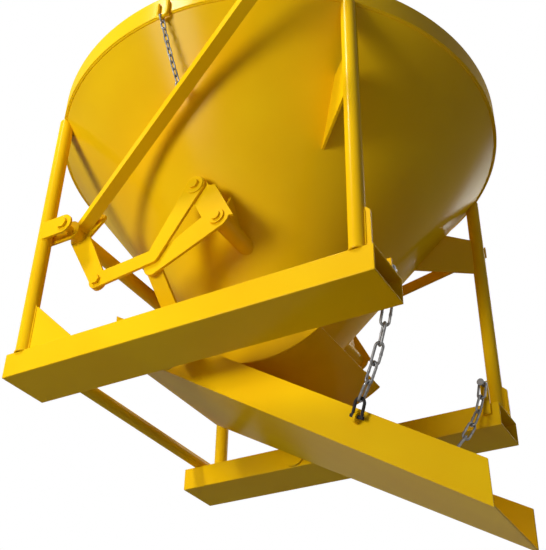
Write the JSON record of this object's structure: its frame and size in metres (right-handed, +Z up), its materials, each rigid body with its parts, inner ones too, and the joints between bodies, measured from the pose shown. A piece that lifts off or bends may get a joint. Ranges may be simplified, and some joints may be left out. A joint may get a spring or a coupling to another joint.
{
  "type": "concrete bucket",
  "caption": "Crane-hung concrete bucket: conical hopper on fork pockets, lever-worked swinging gate and a hinged chute hung on chains.",
  "frame": {"origin": "centre of the base, on the plane of the pocket undersides", "axes": "+Z up, +X along the fork pockets towards the discharge end, +Y away from the hand lever"},
  "size_m": [1.5858, 1.697, 1.6371],
  "materials": {
    "yellow_paint": "gloss enamel",
    "zinc_steel": "galvanised",
    "dark_steel": "satin"
  },
  "bodies": {
    "frame": {"hopper_shell": "yellow_paint", "outlet_collar": "yellow_paint", "rim_band": "yellow_paint", "front_fork_pocket": "yellow_paint", "rear_fork_pocket": "yellow_paint", "front_left_leg": "yellow_paint", "front_right_leg": "yellow_paint", "rear_left_leg": "yellow_paint", "rear_right_leg": "yellow_paint", "foot_gussets": "yellow_paint", "upper_gussets": "yellow_paint", "cross_tie": "yellow_paint", "rear_brace": "yellow_paint", "lifting_lugs": "yellow_paint", "front_lever_bracket": "yellow_paint", "rear_lever_bracket": "yellow_paint", "front_gate_bracket": "yellow_paint", "rear_gate_bracket": "yellow_paint", "gate_pivot_pins": "yellow_paint", "gate_pin_collars": "yellow_paint", "chute_hinge_brackets": "yellow_paint", "chute_hinge_pins": "yellow_paint", "chain_tabs": "yellow_paint", "chain_bolts": "zinc_steel", "front_chute_chain": "zinc_steel", "rear_chute_chain": "zinc_steel", "rim_eye": "yellow_paint"},
    "lever": {"torque_tube": "yellow_paint", "lever_pivot_pins": "yellow_paint", "front_crank": "yellow_paint", "rear_crank": "yellow_paint", "crank_pins": "yellow_paint", "lever_bar": "yellow_paint", "lever_end_cap": "dark_steel", "lever_eye": "yellow_paint"},
    "connecting_rods": {"front_connecting_rod": "yellow_paint", "rear_connecting_rod": "yellow_paint"},
    "gate": {"front_gate_arm": "yellow_paint", "rear_gate_arm": "yellow_paint", "gate_rod_pins": "yellow_paint", "gate_rod_washers": "yellow_paint", "gate_pan": "yellow_paint", "gate_side_plates": "yellow_paint", "gate_struts": "yellow_paint"},
    "chute": {"chute_floor": "yellow_paint", "chute_front_wall": "yellow_paint", "chute_rear_wall": "yellow_paint", "chute_bosses": "yellow_paint", "chute_chain_lugs": "yellow_paint", "chute_shackles": "dark_steel"},
    "safety_chain": {"safety_chain": "zinc_steel"}
  },
  "joints": [
    {"name": "lever_swing", "type": "hinge", "parent": "frame", "child": "lever", "pos_m": [-0.46189, 0, 0.522], "axis": [0, 1, 0], "range_deg": [0, 25], "deforming": ["safety_chain"]},
    {"name": "rod_swing", "type": "hinge", "parent": "lever", "child": "connecting_rods", "pos_m": [-0.3542, 0, 0.31425], "axis": [0, 1, 0], "range_deg": [-18.84, 0]},
    {"name": "gate_swing", "type": "hinge", "parent": "frame", "child": "gate", "pos_m": [0.072, 0, 0.412], "axis": [0, 1, 0], "range_deg": [-34.01, 0]},
    {"name": "safety_chain_swing", "type": "hinge", "parent": "frame", "child": "safety_chain", "pos_m": [0.03, -0.79843, 0.996], "axis": [-0.9999, 0.0161, 0], "range_deg": [0, 31.7]},
    {"name": "chute_tilt", "type": "hinge", "parent": "frame", "child": "chute", "pos_m": [-0.14, 0, 0.11], "axis": [0, -1, 0], "range_deg": [0, 15], "deforming": ["front_chute_chain", "rear_chute_chain"]}
  ],
  "couplings": [
    {"joint": "gate_swing", "follows": "lever_swing", "ratio": -1.3604},
    {"joint": "rod_swing", "follows": "lever_swing", "ratio": -0.7534},
    {"joint": "safety_chain_swing", "follows": "lever_swing", "ratio": 1.268}
  ]
}
